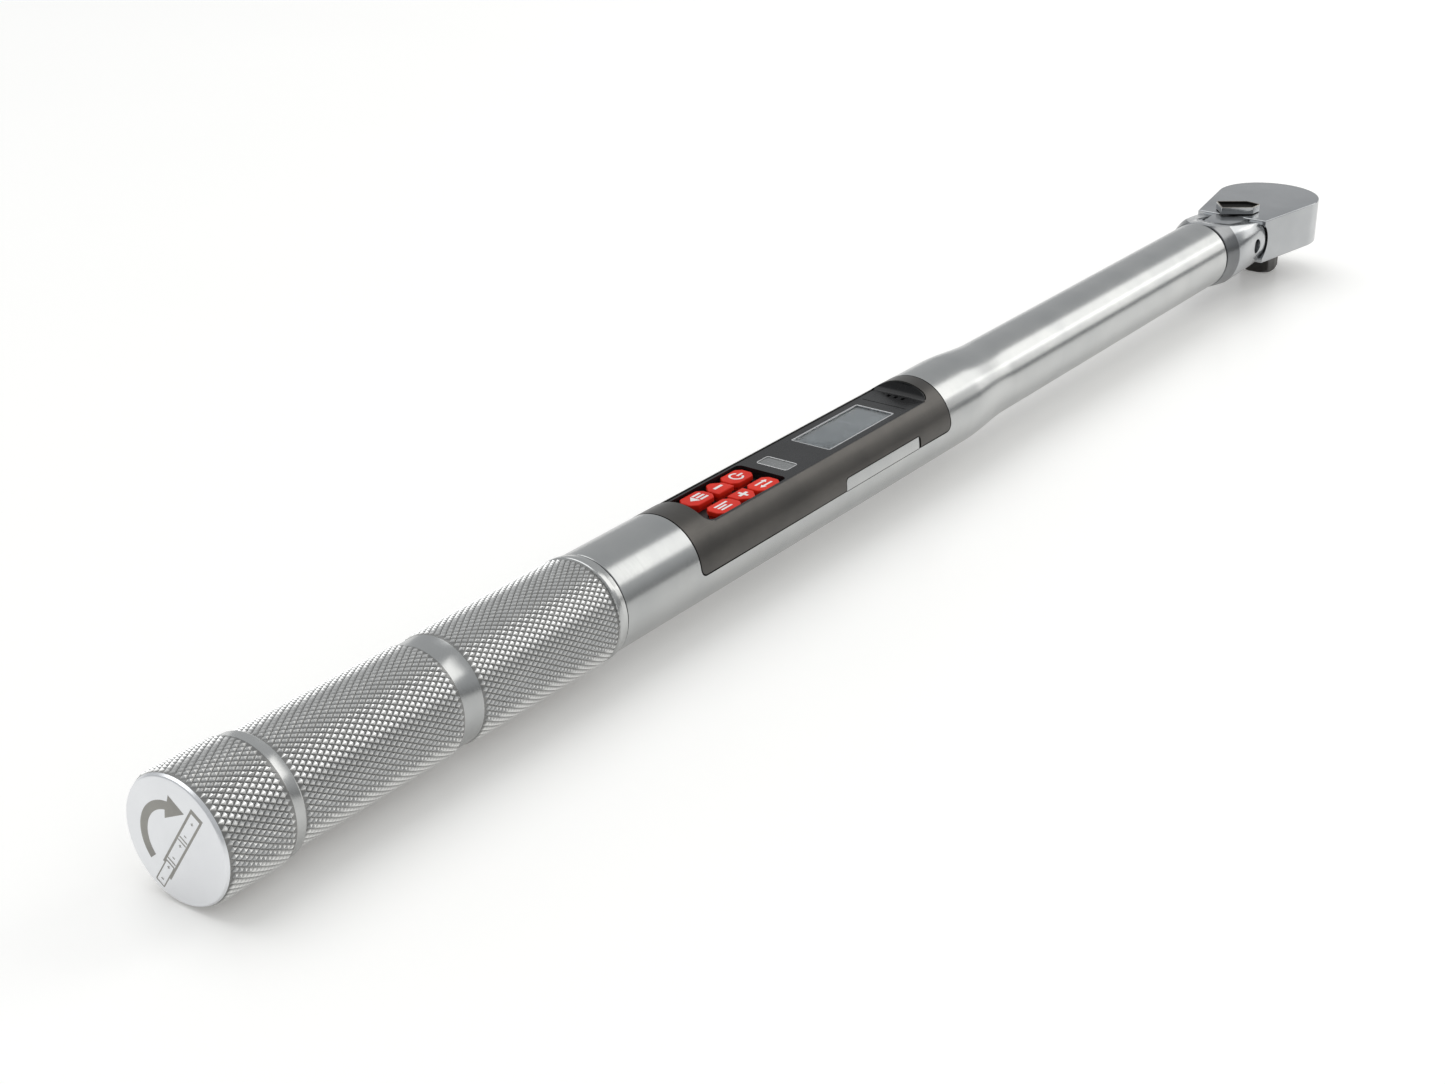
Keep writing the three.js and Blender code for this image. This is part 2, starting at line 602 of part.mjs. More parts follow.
function lever() {
  const foot = HEAD_HALF + GAP;
  const dish = slab(leverOutline(0.9), foot + LEVER_HIGH - 0.8, foot + 5);
  let body = slab(leverOutline(0), foot, foot + LEVER_HIGH).subtract(dish);
  body = body.add(rodX(SHAFT_R, -4.6, foot + 0.5).rotate([0, -90, 0]));
  body = body.subtract(rodX(1.9, -2, 6, 16));
  const place = (piece) => piece.rotate([0, 0, LEVER_REST]).translate([LEVER_X, 0, 0]);
  add('reversing_lever', place(body), BLACK_STEEL);
  const plunger = turned([[2.4, 0], [2.4, 1.6], [6, 1.6], [6.9, 1], [7.2, 0]], 12);
  add('pawl_plunger', place(plunger), STEEL);
  add('pawl_spring', place(coil(-1.6, 2, 1.2, 1.2, 4, 0.25)), STEEL);
}

endCap();
batteries();
gripSleeve();
mainTube();
housingShell();
facePanel();
display();
keys();
electronics();
measuringBeam();
yoke();
head();
cover();
drive();
pawl();
lever();

wrench.position.set(-DRIVE_X, 0, -SQUARE_END);
export default wrench;
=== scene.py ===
"""Looks of the electronic torque wrench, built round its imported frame."""
import math

import bmesh
import bpy
from mathutils import Matrix, Vector


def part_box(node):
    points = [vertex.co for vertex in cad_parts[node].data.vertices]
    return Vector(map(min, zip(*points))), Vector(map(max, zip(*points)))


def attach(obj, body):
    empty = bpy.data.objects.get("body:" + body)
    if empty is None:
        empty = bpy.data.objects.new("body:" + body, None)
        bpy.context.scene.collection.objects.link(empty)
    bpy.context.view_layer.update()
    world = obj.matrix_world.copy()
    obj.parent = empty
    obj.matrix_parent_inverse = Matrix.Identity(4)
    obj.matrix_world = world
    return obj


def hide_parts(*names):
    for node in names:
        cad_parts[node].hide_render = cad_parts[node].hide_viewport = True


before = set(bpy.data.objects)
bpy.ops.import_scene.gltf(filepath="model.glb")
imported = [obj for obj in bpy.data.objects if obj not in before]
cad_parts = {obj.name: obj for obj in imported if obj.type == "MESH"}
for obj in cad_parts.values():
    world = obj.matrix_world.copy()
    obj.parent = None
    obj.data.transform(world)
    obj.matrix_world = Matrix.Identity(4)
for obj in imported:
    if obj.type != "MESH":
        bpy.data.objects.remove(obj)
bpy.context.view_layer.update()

MM = 0.001
CAP_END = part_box("end_cap")[0][0]
AXIS_Z = (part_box("battery_1")[0][2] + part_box("battery_1")[1][2]) / 2
RAD = math.pi / 180

# millimetres: X from the cap's end face, Y to the left, Z from the handle's axis
CAP_ROOT, CAP_CREST = 17.3, 17.9  # radii of the knurl
GRIP_ROOT, GRIP_CREST = 15.86, 16.46
CAP_AROUND, GRIP_AROUND = 60, 56  # diamonds round each band
CAP_ROWS, GRIP_ROWS = 7, 19
CREST_FLAT = 0.07  # flat top of a diamond, as a share of half its pitch
TUBE_R, BORE_R = 15.875, 12.6
FRONT_R, FRONT_BORE_R = 14.05, 11.3
SEAT_R, SEAT_END = 14.6, 154  # the tube under the cap and grip
TUBE_START, TUBE_END = 6.4, 573
SWAGE = (356, 386)
SHANK_SCREW_X = 556
HOUSING = (189.5, 335.5)
HOUSING_R, HOUSING_BORE_R = 15.9, 13.6
FACE_Z = 11.7
FACE_HALF = 10.4
POCKET = (200.0, 329.4)
NOTCH = (268.7, 315.5, 4.1)
TRAY = (203.5, 244, 9.3)
LCD = (271.0, 311.5, 7.6)
LIGHT = (248.5, 255.5, 6.0)
KEY_TOP = 10.9
CONE_END = 582.3
YOKE_END = 609.7
YOKE_R = 15.9
FLAT_START, FLAT_END = 12.5, 8.8  # half heights of the fork's sloping flats
PIVOT_X = 601.5
EAR_R, SHOULDER_R, TONGUE_R = 10, 10.4, 13  # about the tilt axis
PIN_HOLE_R = 3.1
DRIVE_X = 647.0
NOSE_X = 649.5
NOSE_R = 22.2
HEAD_HALF = 9.5
CAVITY = (-7.2, 5.2)  # height of the ratchet's cavity
SCREW_CIRCLE = 17
SQUARE_HALF = 6.35
BALL_R, BALL_Z = 2.4, -18.5
LEVER_X = 616.0
LEVER_REST = -54.0
SHAFT_R = 3.8
GAP = 0.3


# ---------- meshes ----------
def place(x, y, z):
    """A point of the row frame in metres, from millimetres in the handle's frame."""
    return (CAP_END + x * MM, y * MM, AXIS_Z + z * MM)


def build(name, points, faces, sharp=32):
    mesh = bpy.data.meshes.new(name)
    mesh.from_pydata([place(*p) for p in points], [], faces)
    mesh.validate()
    obj = bpy.data.objects.new(name, mesh)
    bpy.context.collection.objects.link(obj)
    face_outwards(mesh)
    smooth(obj, sharp)
    return obj


def face_outwards(mesh):
    work = bmesh.new()
    work.from_mesh(mesh)
    bmesh.ops.recalc_face_normals(work, faces=work.faces)
    work.to_mesh(mesh)
    work.free()


def smooth(obj, sharp=32):
    obj.data.shade_smooth()
    obj.data.set_sharp_from_angle(angle=sharp * RAD)


def turned_point(axis, at, a, r, angle):
    """A point at distance a along an axis and radius r about it."""
    u, v = r * math.cos(angle), r * math.sin(angle)
    if axis == "X":
        return (at[0] + a, at[1] + u, at[2] + v)
    if axis == "Y":
        return (at[0] + v, at[1] + a, at[2] + u)
    return (at[0] + u, at[1] + v, at[2] + a)


def turned(name, profile, around=96, axis="X", at=(0, 0, 0), closed=False, sharp=32):
    """A lathe piece. profile holds (a, r), or (a, r, crest, rows) where a knurled band starts."""
    points, faces, rings = [], [], []
    for step in profile:
        a, r = step[:2]
        if r < 1e-6:
            rings.append([len(points)])
            points.append(turned_point(axis, at, a, 0, 0))
            continue
        rings.append(list(range(len(points), len(points) + around)))
        points += [turned_point(axis, at, a, r, (2 * k + 1) * math.pi / around) for k in range(around)]
    pairs = list(zip(profile, rings, profile[1:] + profile[:1], rings[1:] + rings[:1]))
    for start, low, end, high in pairs if closed else pairs[:-1]:
        if len(start) > 2:
            knurl(points, faces, start, low, end, high, around, at)
            continue
        for k in range(around):
            k2 = (k + 1) % around
            quad = [low[k % len(low)], high[k % len(high)], high[k2 % len(high)], low[k2 % len(low)]]
            faces.append(list(dict.fromkeys(quad)))
    return build(name, points, faces, sharp)


def knurl(points, faces, start, low, end, high, around, at):
    """Diamonds between two rings: each is a cut-off pyramid on the root surface."""
    (x0, root, crest, rows), x1 = start, end[0]
    step = (x1 - x0) / (2 * rows)
    grid = {}

    def corner(i, j):
        j %= 2 * around
        if i == 0:
            return low[(j - 1) // 2]
        if i == 2 * rows:
            return high[(j - 1) // 2]
        if (i, j) not in grid:
            grid[i, j] = len(points)
            points.append(turned_point("X", at, x0 + i * step, root, j * math.pi / around))
        return grid[i, j]

    for i in range(2 * rows + 1):
        for j in range(i % 2, 2 * around, 2):
            if i == 0:
                faces.append([corner(0, j - 1), corner(1, j), corner(0, j + 1)])
                continue
            if i == 2 * rows:
                faces.append([corner(i, j + 1), corner(i - 1, j), corner(i, j - 1)])
                continue
            foot = [corner(i - 1, j), corner(i, j - 1), corner(i + 1, j), corner(i, j + 1)]
            first = len(points)
            for di, dj in ((-CREST_FLAT, 0), (0, -CREST_FLAT), (CREST_FLAT, 0), (0, CREST_FLAT)):
                x = x0 + (i + di) * step
                points.append(turned_point("X", at, x, crest, (j + dj) * math.pi / around))
            faces.append([first, first + 1, first + 2, first + 3])
            for n in range(4):
                m = (n + 1) % 4
                faces.append([foot[n], foot[m], first + m, first + n])


def inset(outline, amount):
    """A convex outline moved inwards."""
    result = []
    count = len(outline)
    for i, (x, y) in enumerate(outline):
        before, after = outline[i - 1], outline[(i + 1) % count]
        d1 = Vector((x - before[0], y - before[1])).normalized()
        d2 = Vector((after[0] - x, after[1] - y)).normalized()
        n1, n2 = Vector((-d1.y, d1.x)), Vector((-d2.y, d2.x))
        mid = n1 + n2
        scale = amount * 2 / max(mid.length_squared, 0.3)
        result.append((x + mid.x * scale, y + mid.y * scale))
    return result


def layers(outline, low, high, fillet_low=0.0, fillet_high=0.0, steps=5):
    """(outline, height) for each level of a slab with rounded edges."""
    result = []
    if fillet_low:
        for i in range(steps):
            a = i / steps * math.pi / 2
            level = inset(outline, fillet_low * (1 - math.sin(a)))
            result.append((level, low + fillet_low * (1 - math.cos(a))))
    result.append((outline, low + fillet_low))
    result.append((outline, high - fillet_high))
    if fillet_high:
        for i in range(1, steps + 1):
            a = i / steps * math.pi / 2
            level = inset(outline, fillet_high * (1 - math.cos(a)))
            result.append((level, high - fillet_high * (1 - math.sin(a))))
    return result


def loft(name, levels, across=False, sharp=32):
    """A closed piece through outlines of equal length, stacked along Z, or along Y if across."""
    points, faces = [], []
    count = len(levels[0][0])
    for outline, height in levels:
        for x, y in outline:
            points.append((x, height, y) if across else (x, y, height))
    for level in range(len(levels) - 1):
        for i in range(count):
            j = (i + 1) % count
            a, b = level * count, (level + 1) * count
            faces.append([a + i, a + j, b + j, b + i])
    faces.append(list(range(count))[::-1])
    faces.append(list(range((len(levels) - 1) * count, len(levels) * count)))
    if across:
        faces = [face[::-1] for face in faces]
    return build(name, points, faces, sharp)


def slab(name, outline, low, high, fillet_low=0.0, fillet_high=0.0, sharp=32):
    return loft(name, layers(outline, low, high, fillet_low, fillet_high), sharp=sharp)


def across(name, outline, half):
    """A side outline in X and Z, spread across Y."""
    return loft(name, [(outline, -half), (outline, half)], across=True)


def arc(cx, cy, r, start, end, steps=12):
    """Points on an arc, in degrees."""
    result = []
    for i in range(steps + 1):
        a = (start + (end - start) * i / steps) * RAD
        result.append((cx + r * math.cos(a), cy + r * math.sin(a)))
    return result


def polar(r, degrees):
    return (r * math.cos(degrees * RAD), r * math.sin(degrees * RAD))


def rounded(x0, x1, y0, y1, r, steps=8):
    """A rectangle with round corners."""
    return (arc(x1 - r, y0 + r, r, -90, 0, steps) + arc(x1 - r, y1 - r, r, 0, 90, steps)
            + arc(x0 + r, y1 - r, r, 90, 180, steps) + arc(x0 + r, y0 + r, r, 180, 270, steps))


def soften(outline, r, steps=5):
    """An outline with its corners rounded."""
    result = []
    count = len(outline)
    for i in range(count):
        p, before, after = (Vector(outline[k % count]) for k in (i, i - 1, i + 1))
        a, b = (before - p).normalized(), (after - p).normalized()
        for k in range(steps + 1):
            t = k / steps
            q = (p + a * r) * (1 - t) ** 2 + p * 2 * t * (1 - t) + (p + b * r) * t ** 2
            result.append((q.x, q.y))
    return result


def teardrop(back_x, back_half, centre_x, radius, steps=72):
    """A round nose with straight sides that run back to a flat end."""
    reach = math.hypot(centre_x - back_x, back_half)
    turn = math.pi / 2 + math.asin(radius / reach) - math.atan2(back_half, centre_x - back_x)
    nose = arc(centre_x, 0, radius, -turn / RAD, turn / RAD, steps)
    return [(back_x, -back_half)] + nose + [(back_x, back_half)]


def rod(name, axis, r, start, end, at=(0, 0, 0), around=48):
    return turned(name, [(start, 0), (start, r), (end, r), (end, 0)], around, axis, at)


def block(name, x0, x1, y0, y1, z0, z1):
    return slab(name, [(x0, y0), (x1, y0), (x1, y1), (x0, y1)], z0, z1)


def shape_with(obj, tool, operation):
    """Joins, cuts or keeps what is common, and removes the tool."""
    modifier = obj.modifiers.new("shape", "BOOLEAN")
    modifier.object = tool
    modifier.operation = operation
    modifier.solver = "EXACT"
    settle(obj)
    bpy.data.objects.remove(tool, do_unlink=True)
    return obj


def cut(obj, *tools):
    for tool in tools:
        shape_with(obj, tool, "DIFFERENCE")
    return obj


def join(obj, *tools):
    for tool in tools:
        shape_with(obj, tool, "UNION")
    return obj


def common(obj, tool):
    return shape_with(obj, tool, "INTERSECT")


def settle(obj):
    """Turns the modifiers' result into the mesh."""
    view = bpy.context.evaluated_depsgraph_get()
    mesh = bpy.data.meshes.new_from_object(obj.evaluated_get(view))
    obj.modifiers.clear()
    obj.data = mesh


def ease_edges(obj, width, sharp=20, segments=2):
    """Rounds the sharp edges a little; the large flats keep their own shading."""
    modifier = obj.modifiers.new("edges", "BEVEL")
    modifier.width = width * MM
    modifier.segments = segments
    modifier.limit_method = "ANGLE"
    modifier.angle_limit = 40 * RAD
    modifier.use_clamp_overlap = True
    settle(obj)
    smooth(obj, sharp)
    return obj


def turn_about(obj, x, y, degrees):
    """Turns a piece's mesh about an upright line."""
    centre = Vector(place(x, y, 0))
    turn = Matrix.Translation(centre) @ Matrix.Rotation(degrees * RAD, 4, "Z") @ Matrix.Translation(-centre)
    obj.data.transform(turn)
    return obj


# ---------- materials ----------
class Nodes:
    """A material whose nodes are added one call at a time."""

    def __init__(self, name, color, roughness, metallic=0.0, **sockets):
        self.material = bpy.data.materials.new(name)
        self.material.use_nodes = True
        self.tree = self.material.node_tree
        self.shader = self.tree.nodes["Principled BSDF"]
        self.shader.inputs["Base Color"].default_value = (*color, 1)
        self.shader.inputs["Roughness"].default_value = roughness
        self.shader.inputs["Metallic"].default_value = metallic
        for socket, value in sockets.items():
            self.shader.inputs[socket.replace("_", " ")].default_value = value
        self.coords = self.add("ShaderNodeTexCoord").outputs["Object"]

    def add(self, kind, inputs=None, **settings):
        node = self.tree.nodes.new(kind)
        for key, value in settings.items():
            setattr(node, key, value)
        for key, value in (inputs or {}).items():
            if isinstance(value, bpy.types.NodeSocket):
                self.tree.links.new(value, node.inputs[key])
            else:
                node.inputs[key].default_value = value
        return node

    def link(self, output, socket):
        self.tree.links.new(output, self.shader.inputs[socket])

    def noise(self, scale, stretch=(1, 1, 1), detail=4.0):
        """Noise with about `scale` cells to the metre."""
        mapped = self.add("ShaderNodeMapping", {"Vector": self.coords, "Scale": stretch})
        return self.add("ShaderNodeTexNoise", {
            "Vector": mapped.outputs[0], "Scale": scale, "Detail": detail}).outputs["Fac"]

    def between(self, value, low, high, out_low, out_high):
        return self.add("ShaderNodeMapRange", {
            "Value": value, "From Min": low, "From Max": high, "To Min": out_low, "To Max": out_high,
        }).outputs[0]

    def tint(self, value, dark, light, low=0.3, high=0.7):
        ramp = self.add("ShaderNodeValToRGB", {"Fac": value})
        ramp.color_ramp.elements[0].position = low
        ramp.color_ramp.elements[1].position = high
        ramp.color_ramp.elements[0].color = (*dark, 1)
        ramp.color_ramp.elements[1].color = (*light, 1)
        self.link(ramp.outputs[0], "Base Color")

    def rough(self, value, low, high):
        self.link(self.between(value, 0.3, 0.7, low, high), "Roughness")

    def bump(self, value, strength, depth):
        bump = self.add("ShaderNodeBump", {"Height": value, "Strength": strength, "Distance": depth * MM})
        self.link(bump.outputs[0], "Normal")


def metal(name, dark, light, rough_low, rough_high, stretch=(1, 1, 1), scale=300, depth=0.004, **sockets):
    made = Nodes(name, light, rough_low, 1.0, **sockets)
    made.tint(made.noise(60), dark, light)
    fine = made.noise(scale, stretch)
    made.rough(fine, rough_low, rough_high)
    made.bump(fine, 0.25, depth)
    return made.material


def plastic(name, dark, light, rough_low, rough_high, scale=1500, depth=0.01, **sockets):
    made = Nodes(name, light, rough_low, **sockets)
    made.tint(made.noise(90), dark, light)
    fine = made.noise(scale)
    made.rough(fine, rough_low, rough_high)
    made.bump(fine, 0.3, depth)
    return made.material


def knurled(name, root, crest):
    """Steel whose colour follows the radius: darker and duller in the grooves, where the darkening is painted
    shade, and brighter and smoother on the crests, as wear.
    """
    made = Nodes(name, (0.72, 0.73, 0.73), 0.25, 1.0)
    parts = made.add("ShaderNodeSeparateXYZ", {"Vector": made.coords})
    height = made.add("ShaderNodeMath", {0: parts.outputs["Z"], 1: AXIS_Z}, operation="SUBTRACT")
    flat = made.add("ShaderNodeCombineXYZ", {"X": 0.0, "Y": parts.outputs["Y"], "Z": height.outputs[0]})
    radius = made.add("ShaderNodeVectorMath", {0: flat.outputs[0]}, operation="LENGTH").outputs["Value"]
    # painted shade in the grooves, with wear on the crests: 0 at the root, 1 at the crest
    groove_shade_and_wear = made.between(radius, root * MM, crest * MM, 0.0, 1.0)
    grime = made.noise(220)
    mixed = made.add("ShaderNodeMath", {0: groove_shade_and_wear, 1: grime}, operation="MULTIPLY_ADD")
    made.tree.links.new(groove_shade_and_wear, mixed.inputs[2])
    made.tint(mixed.outputs[0], (0.25, 0.25, 0.245), (0.70, 0.70, 0.69), 0.0, 1.2)
    made.link(made.between(mixed.outputs[0], 0.0, 1.5, 0.36, 0.14), "Roughness")
    return made.material


TURNED = (12, 0.4, 0.4)  # fine rings about the handle
EVEN = (1, 1, 1)
SATIN = metal("satin_steel", (0.425, 0.433, 0.433), (0.48, 0.485, 0.48), 0.19, 0.26, TURNED, 400)
FACE = metal("cap_face_steel", (0.76, 0.77, 0.79), (0.80, 0.81, 0.83), 0.30, 0.36, EVEN, 900, 0.0006)
POLISHED = metal("polished_steel", (0.365, 0.375, 0.385), (0.42, 0.43, 0.44), 0.16, 0.22, EVEN, 250, 0.002)
RING = metal("bright_ring_steel", (0.46, 0.465, 0.46), (0.53, 0.535, 0.53), 0.18, 0.26, TURNED, 600)
CAP_KNURL = knurled("cap_knurl_steel", CAP_ROOT, CAP_CREST)
GRIP_KNURL = knurled("grip_knurl_steel", GRIP_ROOT, GRIP_CREST)
STEEL = metal("plain_steel", (0.45, 0.45, 0.45), (0.58, 0.58, 0.58), 0.28, 0.4, EVEN, 700)
DARK_STEEL = metal("cone_steel", (0.17, 0.175, 0.18), (0.23, 0.235, 0.24), 0.2, 0.28, TURNED, 500)
BLACK_STEEL = metal("black_oxide_steel", (0.035, 0.034, 0.033), (0.07, 0.067, 0.063), 0.3, 0.45, EVEN, 500)
LEVER_BLACK = plastic("lever_black", (0.006, 0.006, 0.005), (0.012, 0.011, 0.010), 0.45, 0.6, 1200, 0.006,
                      Specular_IOR_Level=0.08)
# painted highlight: a light brownish metal for the lever's top rim
LEVER_RIM_HIGHLIGHT = metal("lever_rim_painted_highlight", (0.30, 0.28, 0.25), (0.46, 0.42, 0.36), 0.22, 0.34, EVEN, 800)
BRASS = metal("brass", (0.55, 0.40, 0.18), (0.75, 0.58, 0.30), 0.25, 0.38, EVEN, 600)
FOIL = metal("bezel_silver", (0.72, 0.72, 0.72), (0.85, 0.85, 0.85), 0.25, 0.35, EVEN, 900)
ETCH = plastic("cap_etching", (0.29, 0.28, 0.26), (0.36, 0.35, 0.32), 0.5, 0.65, 1800, 0.004)
GRAPHITE = plastic("graphite_shell", (0.078, 0.074, 0.069), (0.098, 0.092, 0.085), 0.30, 0.38, 2600, 0.012,
                   Metallic=0.85)
BLACK_PANEL = plastic("black_panel", (0.008, 0.008, 0.009), (0.013, 0.013, 0.014), 0.24, 0.3, 500, 0.002,
                      Specular_IOR_Level=0.25)
TRAY_BLACK = plastic("tray_black", (0.007, 0.007, 0.007), (0.012, 0.012, 0.012), 0.42, 0.55, 2600, 0.01)
RED = plastic("red_rubber", (0.66, 0.016, 0.005), (0.78, 0.026, 0.007), 0.42, 0.52, 2200, 0.008,
              Specular_IOR_Level=0.22)
PRINT = plastic("white_print", (0.78, 0.78, 0.77), (0.88, 0.88, 0.87), 0.4, 0.5, 2200, 0.002)
RUBBER = plastic("black_rubber", (0.012, 0.012, 0.012), (0.022, 0.022, 0.022), 0.6, 0.75, 1800, 0.02)
LCD_GREY = plastic("lcd_grey", (0.20, 0.22, 0.23), (0.25, 0.27, 0.275), 0.22, 0.3, 120, 0.001)
GLASS = plastic("clear_window", (0.62, 0.66, 0.68), (0.70, 0.74, 0.76), 0.05, 0.09, 300, 0.0005,
                Transmission_Weight=0.9, IOR=1.46)
LENS = plastic("pale_lens", (0.15, 0.155, 0.155), (0.20, 0.205, 0.205), 0.2, 0.3, 800, 0.004)
CELL = plastic("cell_film", (0.03, 0.07, 0.13), (0.05, 0.10, 0.18), 0.25, 0.35, 700, 0.004)
BOARD = plastic("solder_mask", (0.01, 0.09, 0.045), (0.02, 0.13, 0.07), 0.4, 0.55, 900, 0.006)
NYLON = plastic("nylon", (0.62, 0.59, 0.52), (0.74, 0.71, 0.64), 0.45, 0.6, 900, 0.01)


def finish(obj, *materials):
    obj.data.materials.clear()
    for material in materials:
        obj.data.materials.append(material)
    return obj


def piece(obj, body, slot, *materials, replaces=()):
    """Gives a piece its body and its materials; slot is not used."""
    finish(obj, *materials)
    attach(obj, body)
    if replaces:
        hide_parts(*replaces)
    return obj


def paint(obj, index, test):
    """Gives a material index to the faces whose centre, in millimetres, passes the test."""
    for polygon in obj.data.polygons:
        x, y, z = polygon.center
        if test((x - CAP_END) / MM, y / MM, (z - AXIS_Z) / MM, polygon.normal):
            polygon.material_index = index


# ---------- battery end ----------
def cap_face_point(right, up):
    """A point on the cap's face, seen from outside: right is -Y."""
    return (-right, up)


def face_plate(name, outline, low=0.0, high=0.03):
    """A thin plate on the cap's end face."""
    count = len(outline)
    points = [(-h, y, z) for h in (low, high) for y, z in outline]
    faces = [[i, (i + 1) % count, count + (i + 1) % count, count + i] for i in range(count)]
    faces += [list(range(count)), list(range(count, 2 * count))[::-1]]
    return build(name, points, faces)


def cap_arrow():
    """A thick clockwise arc with an arrowhead."""
    cx, cy = -0.8, -0.5
    outer = arc(cx, cy, 11.0, 220, 92, 30)
    inner = arc(cx, cy, 8.6, 100, 220, 30)
    tip = [(-0.6, 12.4), (4.3, 8.9), (-2.6, 5.6)]
    return [cap_face_point(*p) for p in outer + tip + inner]


def strip(start, end, half):
    """A straight bar between two points."""
    (x0, y0), (x1, y1) = start, end
    length = math.hypot(x1 - x0, y1 - y0)
    nx, ny = -(y1 - y0) / length * half, (x1 - x0) / length * half
    return [(x0 + nx, y0 + ny), (x0 - nx, y0 - ny), (x1 - nx, y1 - ny), (x1 + nx, y1 + ny)]


def along(start, end, t, side):
    """A point on a line, and to its side."""
    (x0, y0), (x1, y1) = start, end
    length = math.hypot(x1 - x0, y1 - y0)
    return (x0 + (x1 - x0) * t - (y1 - y0) / length * side, y0 + (y1 - y0) * t + (x1 - x0) / length * side)


def cap_marks():
    """The battery tube's pictogram: two walls, cell ends and pole marks."""
    top, foot = (8.8, 10.1), (-7.0, -13.7)
    marks = []
    for side in (-1, 1):
        wall_end = 0.76 if side < 0 else 0.86
        start = along(top, foot, 0.0, 1.85 * side)
        marks.append(strip(start, along(top, foot, wall_end, 1.85 * side), 0.33))
    marks.append(strip(along(top, foot, 0.02, -2.15), along(top, foot, 0.02, 2.15), 0.6))
    for t in (0.36, 0.40, 0.68, 0.72):
        marks.append(strip(along(top, foot, t, -1.4), along(top, foot, t, 1.4), 0.19))
    for side in (-1, 1):
        marks.append(strip(along(top, foot, 0.72, 1.45 * side), along(top, foot, 1.0, 1.45 * side), 0.17))
    marks.append(strip(along(top, foot, 1.0, -1.5), along(top, foot, 1.0, 1.5), 0.13))
    for t in (0.13, 0.45, 0.77):
        marks.append(strip(along(top, foot, t - 0.016, 0), along(top, foot, t + 0.016, 0), 0.1))
        marks.append(strip(along(top, foot, t, -0.4), along(top, foot, t, 0.4), 0.1))
    for t in (0.31, 0.63, 0.94):
        marks.append(strip(along(top, foot, t, -0.4), along(top, foot, t, 0.4), 0.1))
    return [[cap_face_point(*p) for p in mark] for mark in marks]


def battery_end():
    cap = turned("cap_shell", [
        (0.0, 0), (0.0, 16.4), (0.08, 16.7), (0.3, 16.95), (1.0, CAP_ROOT, CAP_CREST, CAP_ROWS),
        (22.3, CAP_ROOT), (22.5, 17.25), (22.7, 17.2), (25.5, 17.2), (25.85, 17.05), (26.0, 16.7),
        (26.0, 15.2), (5.0, 15.2), (5.0, 0),
    ], CAP_AROUND, sharp=20)
    piece(cap, "cap", "satin_steel", CAP_KNURL, FACE, RING, replaces=["end_cap"])
    paint(cap, 1, lambda x, y, z, n: x < 0.9)
    paint(cap, 2, lambda x, y, z, n: x > 22.4)
    arrow = face_plate("cap_arrow_mark", cap_arrow())
    piece(arrow, "cap", "satin_steel", ETCH)
    for i, mark in enumerate(cap_marks()):
        plate = face_plate(f"cap_battery_mark_{i + 1}", mark, high=0.02 + 0.002 * i)
        piece(plate, "cap", "satin_steel", ETCH)

    grip = turned("grip_shell", [
        (26.4, 14.9), (26.4, 15.7), (26.6, GRIP_ROOT, GRIP_CREST, GRIP_ROWS),
        (84.2, GRIP_ROOT), (84.5, 15.8), (91.5, 15.8), (91.8, GRIP_ROOT, GRIP_CREST, GRIP_ROWS),
        (149.4, GRIP_ROOT), (149.6, 16.3), (149.9, 16.42), (151.2, 16.42), (151.5, 16.35),
        (153.3, 16.02), (153.5, 15.9), (153.5, 14.9),
    ], GRIP_AROUND, closed=True, sharp=20)
    piece(grip, "handle", "satin_steel", GRIP_KNURL, RING, SATIN, replaces=["grip_sleeve"])
    paint(grip, 1, lambda x, y, z, n: x > 149.4)
    paint(grip, 2, lambda x, y, z, n: 84.2 < x < 91.8)


# ---------- tube ----------
def swage(r0, r1, steps=16):
    """The smooth step down from the handle's radius to the front tube's."""
    points = []
    for i in range(steps + 1):
        t = i / steps
        x = SWAGE[0] + (SWAGE[1] - SWAGE[0]) * t
        points.append((x, r0 + (r1 - r0) * t * t * (3 - 2 * t)))
    return points


def housing_side(grow):
    """The housing's side outline; its lower corners are rounded."""
    x0, x1 = HOUSING[0] - grow, HOUSING[1] + grow
    r = 2.5 + grow
    low = -grow
    return (arc(x0 + r, low + r, r, 180, 270) + arc(x1 - r, low + r, r, 270, 360) + [(x1, 30), (x0, 30)])


def tab_outline():
    """The seat cut in the tube: the housing's outline, less the tab that shows in its notch."""
    n0, n1, top = NOTCH[0] + GAP, NOTCH[1] - 1.2, NOTCH[2] - GAP
    seat = housing_side(0.5)
    left, right = seat[:13], seat[13:]
    rise = arc(n0 + 1.6, top - 1.6, 1.6, 180, 90)
    return left + [(n0, -GAP)] + rise + [(n1, top), (n1, -GAP)] + right


